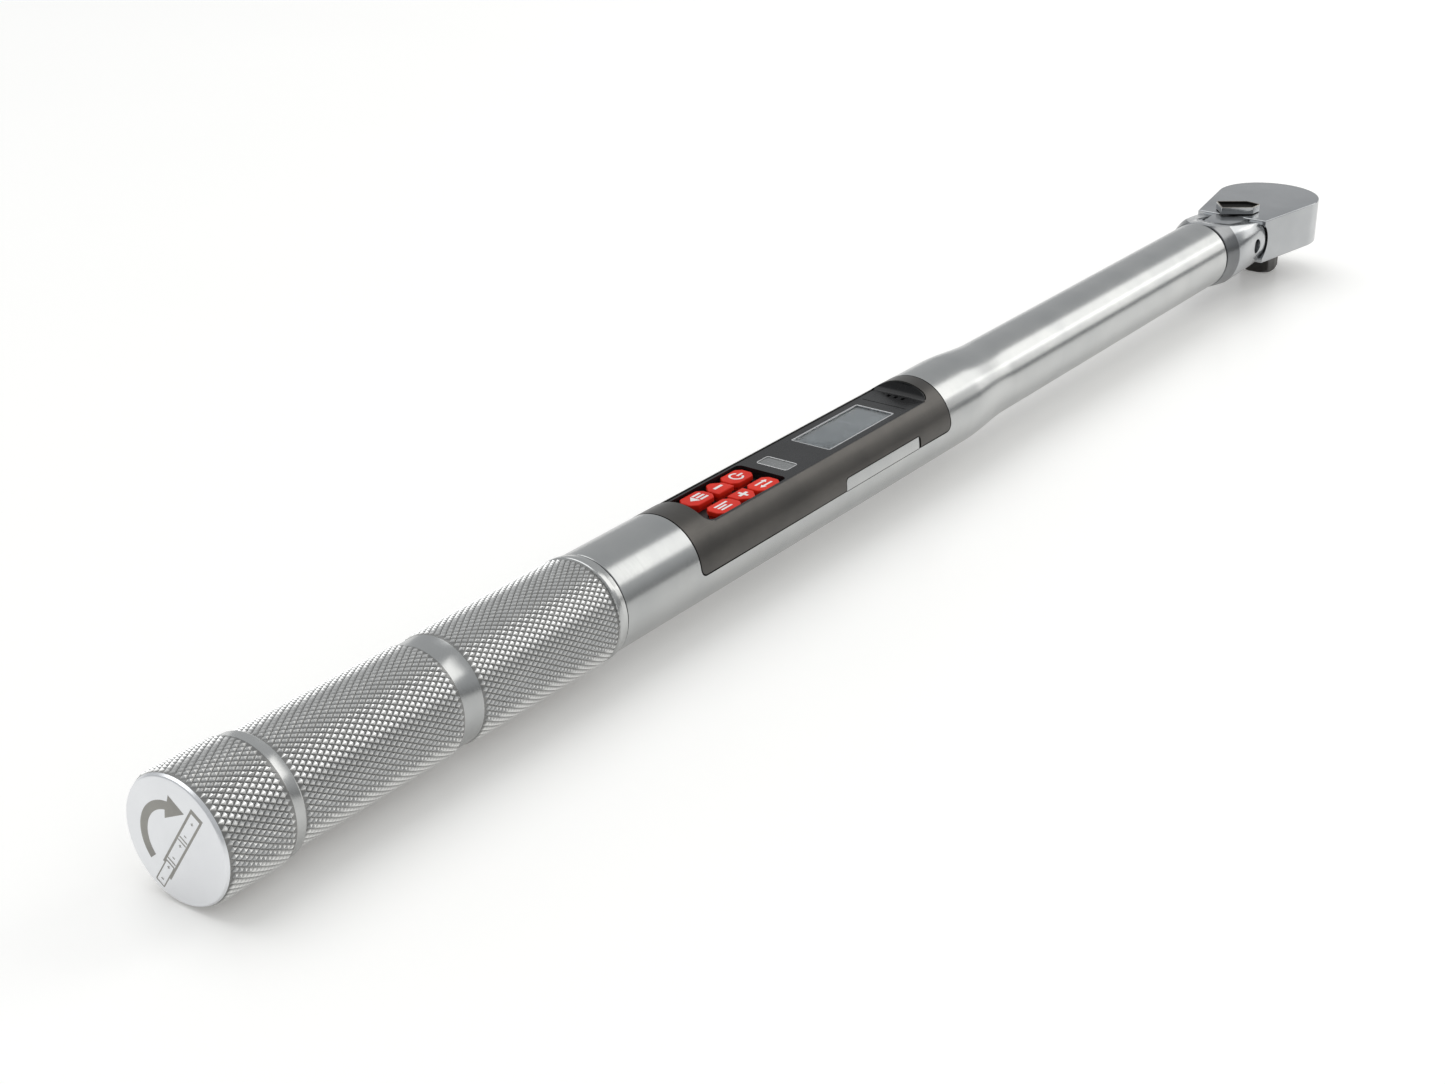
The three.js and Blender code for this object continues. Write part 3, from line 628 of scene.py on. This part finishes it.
def tube():
    outer = [(TUBE_START, 14.0), (6.8, SEAT_R), (22.9, SEAT_R), (22.9, 13.45), (24.9, 13.45),
             (24.9, SEAT_R), (SEAT_END, SEAT_R), (SEAT_END, 15.7), (154.2, TUBE_R)]
    outer += swage(TUBE_R, FRONT_R) + [(572.7, FRONT_R), (TUBE_END, FRONT_R - 0.3)]
    inner = [(TUBE_END, FRONT_BORE_R), (SWAGE[1], FRONT_BORE_R), (SWAGE[0], BORE_R), (TUBE_START, BORE_R)]
    body = turned("tube_body", outer + inner, 128, closed=True)
    cut(body, across("seat_tool", tab_outline(), 30))
    for y in (-16.4, 16.4):
        cut(body, block("seam_tool", NOTCH[0] + GAP, NOTCH[1] - 1.2, y - 1, y + 1, -0.4, -0.15))
    cut(body, rod("screw_tool", "Z", 1.9, -30, -5, (SHANK_SCREW_X, 0, 0), 32))
    smooth(body)
    piece(body, "handle", "satin_steel", SATIN, replaces=["main_tube"])
    screw = turned("shank_screw_head", [
        (-13.75, 0), (-13.75, 1.3), (-13.5, 1.6), (-6.5, 1.6), (-6.5, 0),
    ], 32, "Z", (SHANK_SCREW_X, 0, 0))
    cut(screw, hex_tool(SHANK_SCREW_X, 0, -14, -12.6, 0.85))
    smooth(screw)
    piece(screw, "handle", "plain_steel", STEEL, replaces=["shank_screw"])


def hex_tool(x, y, low, high, r):
    """A six-sided key's hole."""
    outline = [(x + r * math.cos(a * RAD), y + r * math.sin(a * RAD)) for a in range(0, 360, 60)]
    return slab("hex_tool", outline, low, high)


# ---------- display housing ----------
def housing():
    x0, x1 = HOUSING
    ring = [(x0, HOUSING_BORE_R), (x0, HOUSING_R), (x1, HOUSING_R), (x1, HOUSING_BORE_R)]
    shell = turned("housing_body", ring, 144, closed=True)
    common(shell, across("side_tool", housing_side(0), 30))
    p0, p1 = POCKET
    cut(shell, slab("pocket_tool", rounded(p0, p1, -FACE_HALF, FACE_HALF, 3), 5, 30))
    cut(shell, block("flat_tool", p0 + 3, p1 - 3.4, -30, 30, FACE_Z, 30))
    n0, n1, top = NOTCH
    cut(shell, across("notch_tool", rounded(n0, n1, -6, top, 1.6), 30))
    ease_edges(shell, 0.18)
    piece(shell, "handle", "graphite_shell", GRAPHITE, TRAY_BLACK, replaces=["housing_shell"])
    # painted shadow: the housing's end faces are black, for the dark gap line between housing and tube
    paint(shell, 1, lambda x, y, z, n: abs(n.x) > 0.9 and not x0 + 1 < x < x1 - 1)


KEYS = {
    "menu_key": (209.8, 221.6, 1.5, 8.7, 0),
    "minus_key": (222.3, 230.6, 1.5, 8.7, 1),
    "power_key": (231.3, 242.6, 1.5, 8.7, 0),
    "preset_key": (209.8, 221.6, -8.7, -1.5, 0),
    "plus_key": (222.3, 230.6, -8.7, -1.5, -1),
    "unit_key": (231.3, 242.6, -8.7, -1.5, 0),
}


def key_outline(key, shrink):
    x0, x1, y0, y1, point = key
    a, b, c, d = x0 + shrink, x1 - shrink, y0 + shrink, y1 - shrink
    mid = (a + b) / 2
    if point > 0:
        corners = [(a, c), (b, c), (b, d - 3), (mid + 1, d), (mid - 1, d), (a, d - 3)]
    elif point < 0:
        corners = [(a, c + 3), (mid - 1, c), (mid + 1, c), (b, c + 3), (b, d), (a, d)]
    else:
        corners = [(a + 1.8, c), (b - 1.8, c), (b, c + 1.8), (b, d - 1.8), (b - 1.8, d), (a + 1.8, d),
                   (a, d - 1.8), (a, c + 1.8)]
    return soften(corners, 0.45)


def ring_outline(x, y, r, thickness, start, end):
    """An open ring seen from above."""
    return arc(x, y, r, start, end, 28) + arc(x, y, r - thickness, end, start, 28)


def key_marks(name, key):
    """White pictograms, as outlines on the key's top."""
    x, y = (key[0] + key[1]) / 2, (key[2] + key[3]) / 2
    if name == "menu_key":
        bars = [strip((x - 0.2, y + dy), (x + 3.7, y + dy), 0.42) for dy in (-1.55, 0, 1.55)]
        return [[(x - 3.3, y), (x - 0.7, y - 2.0), (x - 0.7, y + 2.0)]] + bars
    if name == "minus_key":
        return [strip((x - 2.1, y - 0.3), (x + 2.1, y - 0.3), 0.52)]
    if name == "plus_key":
        return [strip((x - 2.1, y + 0.4), (x + 2.1, y + 0.4), 0.52),
                strip((x, y + 0.93), (x, y + 2.2), 0.52), strip((x, y - 0.13), (x, y - 1.4), 0.52)]
    if name == "power_key":
        return [ring_outline(x - 0.2, y, 2.5, 0.75, 35, 325), strip((x + 0.3, y), (x + 3.1, y), 0.4)]
    if name == "preset_key":
        rows = ((1.35, 3.2), (0, 1.2), (-1.35, 2.2))
        return [strip((x - 3.2, y + dy), (x + width, y + dy), 0.36) for dy, width in rows]
    return [strip((x - 3.0, y + 1.1), (x + 1.3, y + 1.1), 0.36),
            [(x + 1.4, y + 0.1), (x + 3.2, y + 1.1), (x + 1.4, y + 2.1)],
            strip((x - 1.3, y - 1.1), (x + 3.0, y - 1.1), 0.36),
            [(x - 1.4, y - 0.1), (x - 3.2, y - 1.1), (x - 1.4, y - 2.1)]]


def keypad():
    for name, key in KEYS.items():
        body = name + "_body"
        top = key_outline(key, 0)
        levels = layers(key_outline(key, 0.5), 6.9, 9.15)
        levels += layers(top, 9.2, KEY_TOP, 0.15, 0.4)
        cap = loft(name + "_cap", levels, sharp=40)
        piece(cap, body, "red_rubber", RED, replaces=[name])
        for i, mark in enumerate(key_marks(name, key)):
            plate = slab(f"{name}_mark_{i + 1}", mark, KEY_TOP - 0.02, KEY_TOP + 0.03)
            piece(plate, body, "red_rubber", PRINT)


def panel():
    x0, x1 = POCKET[0] + GAP, POCKET[1] - GAP
    t0, t1, t_half = TRAY
    half = FACE_HALF - GAP
    ramp = []
    for a in range(0, 91, 9):
        ramp.append((x1 - 3.0 + 2.7 * math.sin(a * RAD), 11.5 + 4.2 * (1 - math.cos(a * RAD))))
    side = [(x0, 9.9), (x1, 9.9), (x1, 15.7)] + ramp[::-1] + [(x0, 11.5)]
    body = across("panel_body", side, half)
    common(body, slab("plan_tool", rounded(x0, x1, -half, half, 2.7), 0, 20))
    common(body, rod("round_tool", "X", HOUSING_R - 0.2, x0 - 1, x1 + 1, around=144))
    cut(body, slab("tray_tool", rounded(t0, t1, -t_half, t_half, 2), 8, 20))
    cut(body, slab("lcd_tool", rounded(LCD[0], LCD[1], -LCD[2], LCD[2], 0.8), 0, 20))
    cut(body, slab("light_tool", rounded(LIGHT[0], LIGHT[1], -LIGHT[2], LIGHT[2], 1.2), 0, 20))
    for y in (-2.8, 0, 2.8):
        cut(body, slab("slot_tool", rounded(323.7, 325.7, y - 0.6, y + 0.6, 0.3), 0, 20))
    cut(body, block("line_tool", 316.6, 317.0, -8.5, 8.5, 11.2, 20))
    ease_edges(body, 0.1)
    piece(body, "handle", "black_panel", BLACK_PANEL, replaces=["face_panel"])

    wall = 0.5
    tray = slab("key_tray", rounded(t0 - wall, t1 + wall, -t_half - wall, t_half + wall, 2.4), 7.5, 9.8)
    cut(tray, slab("well_tool", rounded(t0, t1, -t_half, t_half, 2), 8.2, 20))
    for key in KEYS.values():
        cut(tray, slab("hole_tool", key_outline(key, 0.2), 0, 20))
    smooth(tray)
    piece(tray, "handle", "black_panel", TRAY_BLACK)


def frame_ring(name, x0, x1, half, r, width, low, high):
    """A thin frame round an opening."""
    made = slab(name, rounded(x0, x1, -half, half, r), low, high)
    inner = rounded(x0 + width, x1 - width, -half + width, half - width, max(r - width, 0.1))
    cut(made, slab("inner_tool", inner, low - 1, high + 1))
    return ease_edges(made, 0.06)


def display():
    x0, x1, half = LCD
    play = 0.05
    bezel = frame_ring("display_bezel", x0 + play, x1 - play, half - play, 0.8, 0.5, 11.0, 11.45)
    piece(bezel, "handle", "plain_steel", FOIL)
    glass = rounded(x0 + GAP, x1 - GAP, -half + GAP, half - GAP, 0.6)
    x0, x1, half = LIGHT
    outline = frame_ring("light_outline", x0 + play, x1 - play, half - play, 1.2, 0.35, 11.25, 11.5)
    piece(outline, "handle", "plain_steel", FOIL)
    window = slab("display_glass", glass, 10, 10.9, 0, 0.1)
    piece(window, "handle", "clear_window", GLASS, replaces=["display_window"])


# ---------- fork ----------
def yoke():
    slope = (FLAT_START - FLAT_END) / (YOKE_END - 1.8 - CONE_END)
    back, r = 530, 3
    top = FLAT_START + slope * (CONE_END - back)
    x, z = YOKE_END - r, FLAT_END - r
    side = [(back, -top)] + arc(x, -z, r, -82, 0) + arc(x, z, r, 0, 82) + [(back, top)]
    body = turned("yoke_body", [
        (542.5, 0), (542.5, 11), (TUBE_END + GAP, 11), (TUBE_END + GAP, 12.7), (574, 12.7), (574, 14.0),
        (574.3, 14.3), (582.0, 15.8), (CONE_END, YOKE_R), (YOKE_END, YOKE_R), (YOKE_END, 0),
    ], 128)
    common(body, across("flat_tool", side, 30))
    ears = rod("ear_tool", "Y", EAR_R, -30, 30, (PIVOT_X, 0, 0), 128)
    join(ears, block("behind_tool", back, PIVOT_X + 3.5, -30, 30, -30, 30))
    common(body, ears)
    slot = slab("slot_tool", arc(PIVOT_X, 0, 15, 150, 210, 40) + [(620, -7.6), (620, 7.6)], -30, 30)
    cut(body, slot)
    cut(body, rod("pin_tool", "Y", PIN_HOLE_R, -30, 30, (PIVOT_X, 0, 0), 64))
    cut(body, rod("bore_tool", "X", 3.2, 566, PIVOT_X))
    cut(body, rod("screw_tool", "Z", 1.9, -30, -5, (SHANK_SCREW_X, 0, 0), 32))
    ease_edges(body, 0.3, segments=3)
    piece(body, "handle", "polished_steel", POLISHED, DARK_STEEL, replaces=["yoke"])
    paint(body, 1, lambda x, y, z, n: 574.0 < x < 582.2 and math.hypot(y, z) > 13.9)
    pin = turned("pivot_pin_body", [
        (-12.5, 0), (-12.5, 1.6), (-12.2, 2.5), (-11.9, 2.8),
        (11.9, 2.8), (12.2, 2.5), (12.5, 1.6), (12.5, 0),
    ], 48, "Y", (PIVOT_X, 0, 0))
    piece(pin, "handle", "plain_steel", STEEL, replaces=["pivot_pin"])


# ---------- ratchet head ----------
def cover_outline(grow):
    return teardrop(LEVER_X + 0.5 - grow, 6 + grow * 0.7, DRIVE_X, 19 + grow)


def screw_places():
    return [(DRIVE_X + x, y) for x, y in (polar(SCREW_CIRCLE, a) for a in (50, 130, -130, -50))]


def head():
    plan = teardrop(PIVOT_X + 7.3, 15.7, NOSE_X, NOSE_R)
    body = slab("head_body", plan, -HEAD_HALF, HEAD_HALF, 0.6, 0.45)
    cut(body, rod("shoulder_tool", "Y", SHOULDER_R, -30, 30, (PIVOT_X, 0, 0), 128))
    profile = [polar(TONGUE_R, a) for a in range(180, -1, -5)]
    ball = turned("tongue", profile, 72, "Y", (PIVOT_X, 0, 0))
    common(ball, block("tongue_tool", PIVOT_X - 20, PIVOT_X + 12.4, -7.2, 7.2, -HEAD_HALF, HEAD_HALF))
    join(body, ball)
    cut(body, rod("pin_tool", "Y", PIN_HOLE_R, -30, 30, (PIVOT_X, 0, 0), 64))
    cut(body, rod("gear_tool", "Z", 15.2, *CAVITY, (DRIVE_X, 0, 0), 96))
    cut(body, slab("pawl_tool", rounded(LEVER_X + 5, DRIVE_X - 8, -10.6, 10.6, 2), *CAVITY))
    sweep = rod("sweep_tool", "Z", 7.7, *CAVITY, (LEVER_X, 0, 0), 64)
    common(sweep, block("front_tool", LEVER_X - 1.4, LEVER_X + 12, -12, 12, -8, 8))
    cut(body, sweep)
    cut(body, rod("shaft_tool", "Z", SHAFT_R + GAP, CAVITY[0], 20, (LEVER_X, 0, 0)))
    cut(body, slab("cover_tool", cover_outline(GAP), -20, -7.1))
    for x, y in screw_places():
        cut(body, rod("hole_tool", "Z", 1.4, -8, -3, (x, y, 0), 24))
    ease_edges(body, 0.12)
    piece(body, "head", "polished_steel", POLISHED, replaces=["ratchet_head"])


def cover():
    plate = slab("cover_plate", cover_outline(0), -HEAD_HALF, -7.4, 0.3, 0)
    cut(plate, rod("bore_tool", "Z", 10.1, -20, 0, (DRIVE_X, 0, 0), 96))
    for x, y in screw_places():
        cut(plate, rod("hole_tool", "Z", 1.4, -20, 0, (x, y, 0), 32))
        cut(plate, rod("sink_tool", "Z", 1.9, -20, -8.4, (x, y, 0), 32))
    ease_edges(plate, 0.08)
    piece(plate, "head", "polished_steel", POLISHED, replaces=["head_cover"])
    for i, (x, y) in enumerate(screw_places()):
        screw = turned(f"cover_screw_{i + 1}_detail", [
            (-HEAD_HALF, 0), (-HEAD_HALF, 1.3), (-9.3, 1.6), (-8.7, 1.6), (-8.7, 1.1), (-3.4, 1.1), (-3.4, 0),
        ], 32, "Z", (x, y, 0))
        cut(screw, hex_tool(x, y, -10, -8.9, 0.75))
        smooth(screw)
        piece(screw, "head", "plain_steel", STEEL, replaces=[f"cover_screw_{i + 1}"])


def drive():
    teeth = []
    for i in range(120):
        x, y = polar(14.15 if i % 2 else 14.8, i * 3)
        teeth.append((DRIVE_X + x, y))
    body = slab("drive_body", teeth, -5, 4.8)
    profile = [(-10.2, 0), (-10.2, 9.3), (-9.8, 9.7), (-4, 9.7), (-4, 0)]
    join(body, turned("collar", profile, 96, "Z", (DRIVE_X, 0, 0)))
    h = SQUARE_HALF
    square = slab("square", rounded(DRIVE_X - h, DRIVE_X + h, -h, h, 0.9), -24, -9)
    profile = [(-24, 0), (-24, 6.7), (-22.2, 8.8), (-8, 8.8), (-8, 0)]
    common(square, turned("bevel_tool", profile, 96, "Z", (DRIVE_X, 0, 0)))
    join(body, square)
    cut(body, rod("ball_tool", "X", BALL_R + GAP, 0, 20, (DRIVE_X, 0, BALL_Z), 48))
    ease_edges(body, 0.12)
    piece(body, "drive", "black_steel", BLACK_STEEL, replaces=["drive_gear"])
    profile = [polar(BALL_R, a) for a in range(180, -1, -6)]
    ball = turned("detent_ball", profile, 48, "X", (DRIVE_X + h - 1.5, 0, BALL_Z))
    piece(ball, "ball", "plain_steel", STEEL, replaces=["socket_ball"])


def lever():
    foot = HEAD_HALF + GAP
    high = foot + 3.1
    plan = [(-8.9, -5.4), (4.8, -5.4), (9.4, 0), (4.8, 5.4), (-8.9, 5.4)]
    plan = [(x + LEVER_X, y) for x, y in soften(plan, 0.7)]
    levels = layers(plan, foot, high, 0.2, 0.12)
    rim = [(inset(plan, 0.38), high), (inset(plan, 0.42), high - 0.1), (inset(plan, 0.62), high - 1.1)]
    body = loft("lever_body", levels + rim, sharp=28)
    shaft = rod("shaft", "Z", SHAFT_R, -4.6, foot + 0.5, (LEVER_X, 0, 0))
    join(body, shaft)
    cut(body, rod("bore_tool", "X", 1.9, -2, 6, (LEVER_X, 0, 0)))
    smooth(body, 28)
    turn_about(body, LEVER_X, 0, LEVER_REST)
    piece(body, "lever", "black_steel", LEVER_BLACK, LEVER_RIM_HIGHLIGHT, POLISHED, replaces=["reversing_lever"])
    outwards = SHAFT_R + 0.4

    def outer_wall(x, y, z, n):
        return abs(n.z) < 0.3 and z < high - 0.2 and n.x * (x - LEVER_X) + n.y * y > outwards

    paint(body, 2, outer_wall)
    # the top rim faces get the painted highlight
    paint(body, 1, lambda x, y, z, n: z > high - 0.25)


# ---------- pieces kept from the frame ----------
KEPT = {
    "cap_seal_ring": RUBBER, "cap_contact": BRASS, "battery_spring": STEEL, "battery_1": CELL,
    "battery_2": CELL, "battery_3": CELL, "battery_liner": NYLON, "contact_carrier": NYLON,
    "positive_contact": BRASS, "lcd_module": LCD_GREY, "light_bar": LENS, "main_board": BOARD,
    "keypad_mat": RUBBER, "light_module": NYLON, "buzzer": BLACK_PANEL, "vibration_motor": STEEL,
    "battery_lead": RUBBER, "gauge_lead": RUBBER, "measuring_beam": STEEL, "strain_gauge_1": BRASS,
    "strain_gauge_2": BRASS, "strain_gauge_3": BRASS, "strain_gauge_4": BRASS,
    "friction_plunger": STEEL, "friction_spring": STEEL, "socket_ball_spring": STEEL,
    "pawl": STEEL, "pawl_plunger": STEEL, "pawl_spring": STEEL,
}


def kept_pieces():
    for name, material in KEPT.items():
        finish(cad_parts[name], material)


# ---------- studio ----------
def floor():
    """A pale floor that touches the drive's end and the underside of the cap."""
    slope = math.atan2(AXIS_Z - CAP_CREST * MM, -CAP_END)
    mesh = bpy.data.meshes.new("floor")
    size = 12
    corners = [(-size, -size, 0), (size, -size, 0), (size, size, 0), (-size, size, 0)]
    mesh.from_pydata(corners, [], [[0, 1, 2, 3]])
    obj = bpy.data.objects.new("floor", mesh)
    bpy.context.collection.objects.link(obj)
    obj.rotation_euler = (0, slope, 0)
    obj.location = (0, 0, -0.0001)
    made = Nodes("floor_white", (0.95, 0.945, 0.93), 0.3, Specular_IOR_Level=0.25,
                 Emission_Color=(1.0, 0.98, 0.95, 1), Emission_Strength=0.17)
    made.rough(made.noise(4), 0.28, 0.34)
    finish(obj, made.material)


def aim(obj, location, target):
    """Stands a lamp or camera at a location, looking at a target, with its top upwards."""
    obj.location = location
    obj.rotation_mode = "QUATERNION"
    obj.rotation_quaternion = (Vector(target) - Vector(location)).to_track_quat("-Z", "Y")


def lamp(name, kind, energy, location, target, color=(1, 1, 1), **settings):
    light = bpy.data.lights.new(name, kind)
    light.energy = energy
    light.color = color
    for key, value in settings.items():
        setattr(light, key, value)
    obj = bpy.data.objects.new(name, light)
    bpy.context.collection.objects.link(obj)
    aim(obj, location, target)
    obj.visible_camera = False


def studio():
    """A pale room, darker low on the side facing the camera, with a sun and two softboxes."""
    world = bpy.data.worlds.new("studio")
    bpy.context.scene.world = world
    world.use_nodes = True
    nodes, links = world.node_tree.nodes, world.node_tree.links
    background = nodes["Background"]
    background.inputs["Color"].default_value = (0.965, 0.985, 1.0, 1)
    direction = nodes.new("ShaderNodeSeparateXYZ")
    links.new(nodes.new("ShaderNodeTexCoord").outputs["Generated"], direction.inputs[0])
    sides = []
    for axis, low, high in (("Z", 0.30, 0.02), ("Y", -0.1, -0.4)):
        side = nodes.new("ShaderNodeMapRange")
        side.inputs["From Min"].default_value = low
        side.inputs["From Max"].default_value = high
        links.new(direction.outputs[axis], side.inputs["Value"])
        sides.append(side.outputs[0])
    shade = nodes.new("ShaderNodeMath")
    shade.operation = "MULTIPLY"
    level = nodes.new("ShaderNodeMapRange")
    level.inputs["To Min"].default_value = 0.58
    level.inputs["To Max"].default_value = 0.24
    links.new(sides[0], shade.inputs[0])
    links.new(sides[1], shade.inputs[1])
    links.new(shade.outputs[0], level.inputs["Value"])
    links.new(level.outputs[0], background.inputs["Strength"])
    lamp("overhead", "SUN", 1.0, (-0.2, 0.9, 2.0), (-0.3, 0, 0), angle=55 * RAD)
    warm = (1.0, 0.985, 0.955)
    lamp("long_softbox", "AREA", 7.9, (1.35, -0.58, 0.95), (1.40, 0.0, 0.0), warm,
         shape="RECTANGLE", size=2.1, size_y=0.82)
    lamp("front_softbox", "AREA", 2.9, (1.95, -0.95, 0.54), (1.85, 0.0, 0.0), warm,
         shape="RECTANGLE", size=1.1, size_y=0.62)
    bpy.context.scene.view_settings.view_transform = "Standard"
    bpy.context.scene.view_settings.look = "None"


def camera():
    data = bpy.data.cameras.new("camera")
    data.lens = 55.06
    data.sensor_width = 36
    data.sensor_fit = "HORIZONTAL"
    data.clip_start = 0.01
    obj = bpy.data.objects.new("camera", data)
    bpy.context.collection.objects.link(obj)
    aim(obj, (-0.9347, -0.3591, 0.2996), (-0.1891, 0.1661, -0.1106))
    bpy.context.scene.camera = obj


camera()
battery_end()
tube()
housing()
panel()
display()
keypad()
yoke()
head()
cover()
drive()
lever()
kept_pieces()
floor()
studio()
